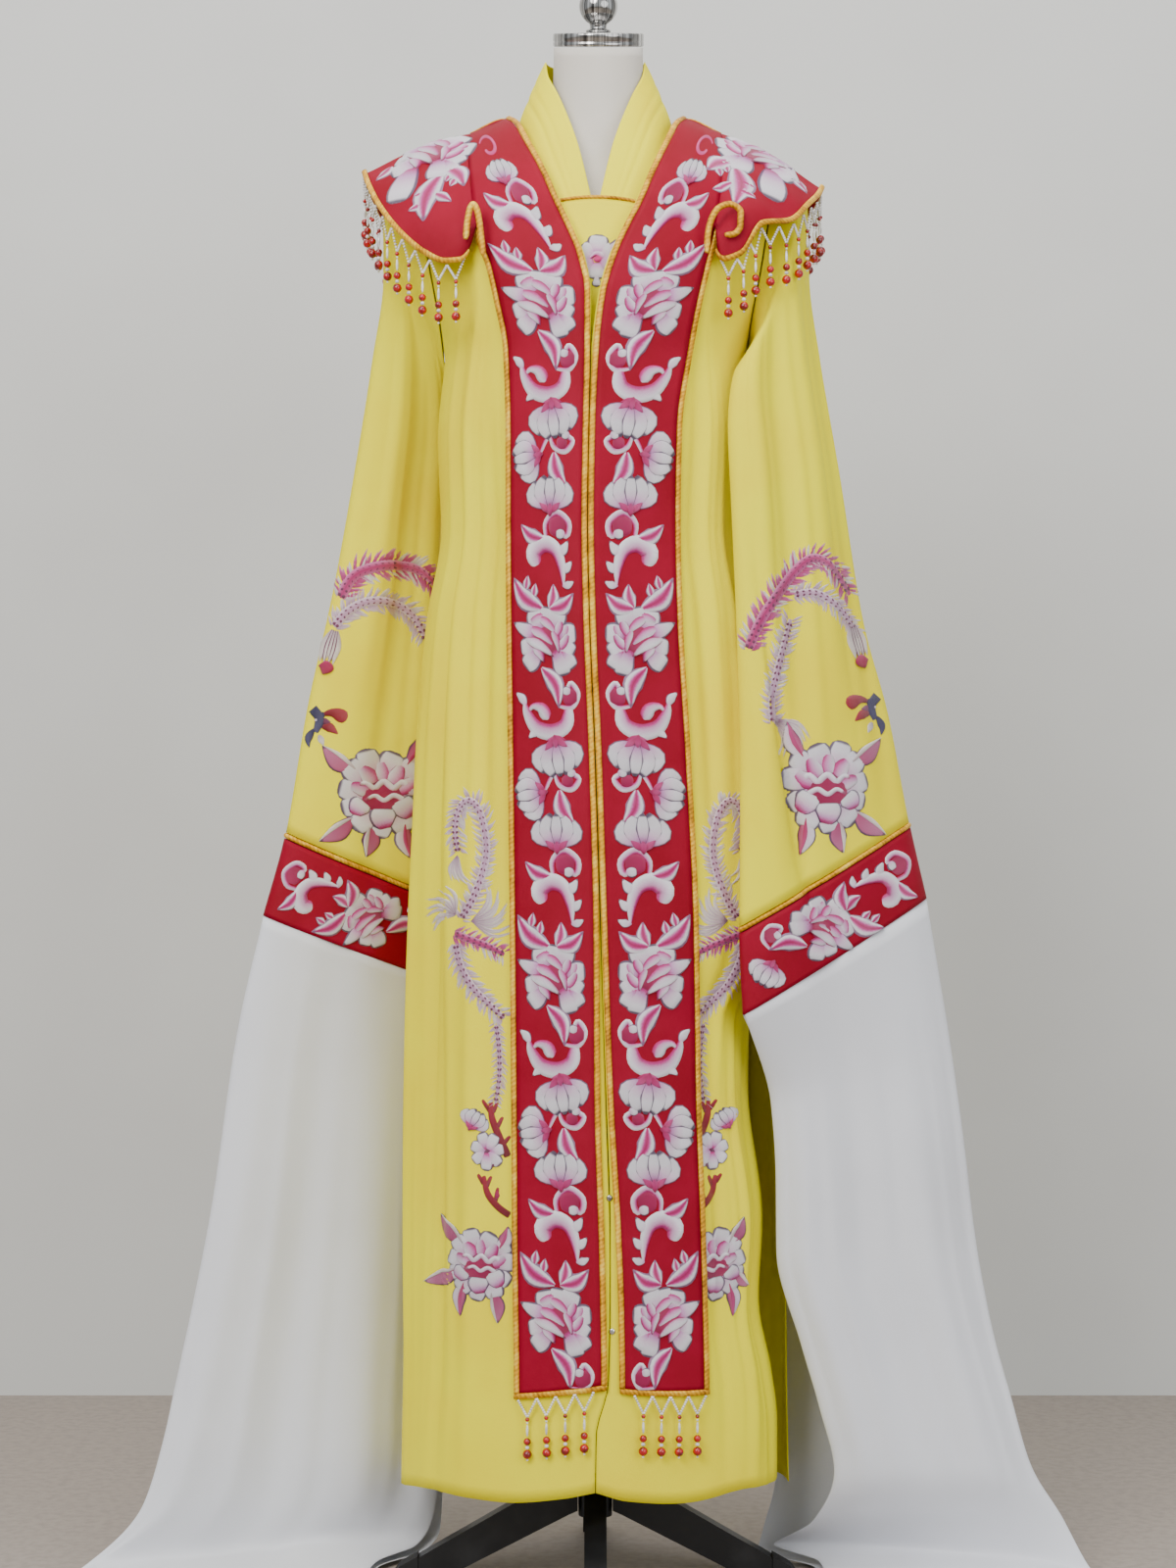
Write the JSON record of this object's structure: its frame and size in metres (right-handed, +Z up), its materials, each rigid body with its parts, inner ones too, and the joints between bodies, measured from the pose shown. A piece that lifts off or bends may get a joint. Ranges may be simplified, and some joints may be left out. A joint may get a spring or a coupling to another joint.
{
  "type": "chinese opera costume on dress form",
  "caption": "Yellow opera robe with wide sleeves and white water sleeves, under a red cape with gold-edged front bands, on a limbless dress form with a cross base.",
  "frame": {"origin": "centre of the dress form's cross base on the floor", "axes": "+Z up, -Y the way the costume faces, +X to the right as seen from the front"},
  "size_m": [1.019, 0.3951, 1.5414],
  "materials": {
    "crepe": "soft yellow crepe with a low sheen and coloured embroidery",
    "cape": "crimson crepe with satin-stitch embroidery",
    "gold": "gold metallic binding",
    "silk": "white light silk",
    "beads": "fringe of red and white beads",
    "jersey": "ivory jersey cover",
    "chrome": "polished chrome",
    "black": "black painted steel",
    "rubber": "black rubber end cap"
  },
  "bodies": {
    "root": {"robe_front_left": "crepe", "robe_front_right": "crepe", "robe_back": "crepe", "sleeve_left": "crepe", "cuff_piping_left": "gold", "cuff_left": "cape", "water_sleeve_left": "silk", "sleeve_right": "crepe", "cuff_piping_right": "gold", "cuff_right": "cape", "water_sleeve_right": "silk", "collar": "crepe", "bodice": "crepe", "bodice_piping": "gold", "cape_band_left": "cape", "binding_inner_left": "gold", "binding_outer_left": "gold", "binding_end_left": "gold", "fringe_band_left": "beads", "cape_wing_left": "cape", "binding_wing_left": "gold", "fringe_wing_left": "beads", "cape_band_right": "cape", "binding_inner_right": "gold", "binding_outer_right": "gold", "binding_end_right": "gold", "fringe_band_right": "beads", "cape_wing_right": "cape", "binding_wing_right": "gold", "fringe_wing_right": "beads", "cape_back": "cape", "binding_back": "gold", "binding_neck": "gold", "fringe_back": "beads", "curl_left": "gold", "curl_right": "gold", "form_torso": "jersey", "form_cap": "chrome", "form_finial": "chrome", "form_pole": "black", "form_hub": "black", "form_leg_right": "black", "form_foot_right": "rubber", "form_leg_back": "black", "form_foot_back": "rubber", "form_leg_left": "black", "form_foot_left": "rubber", "form_leg_front": "black", "form_foot_front": "rubber"}
  },
  "joints": []
}
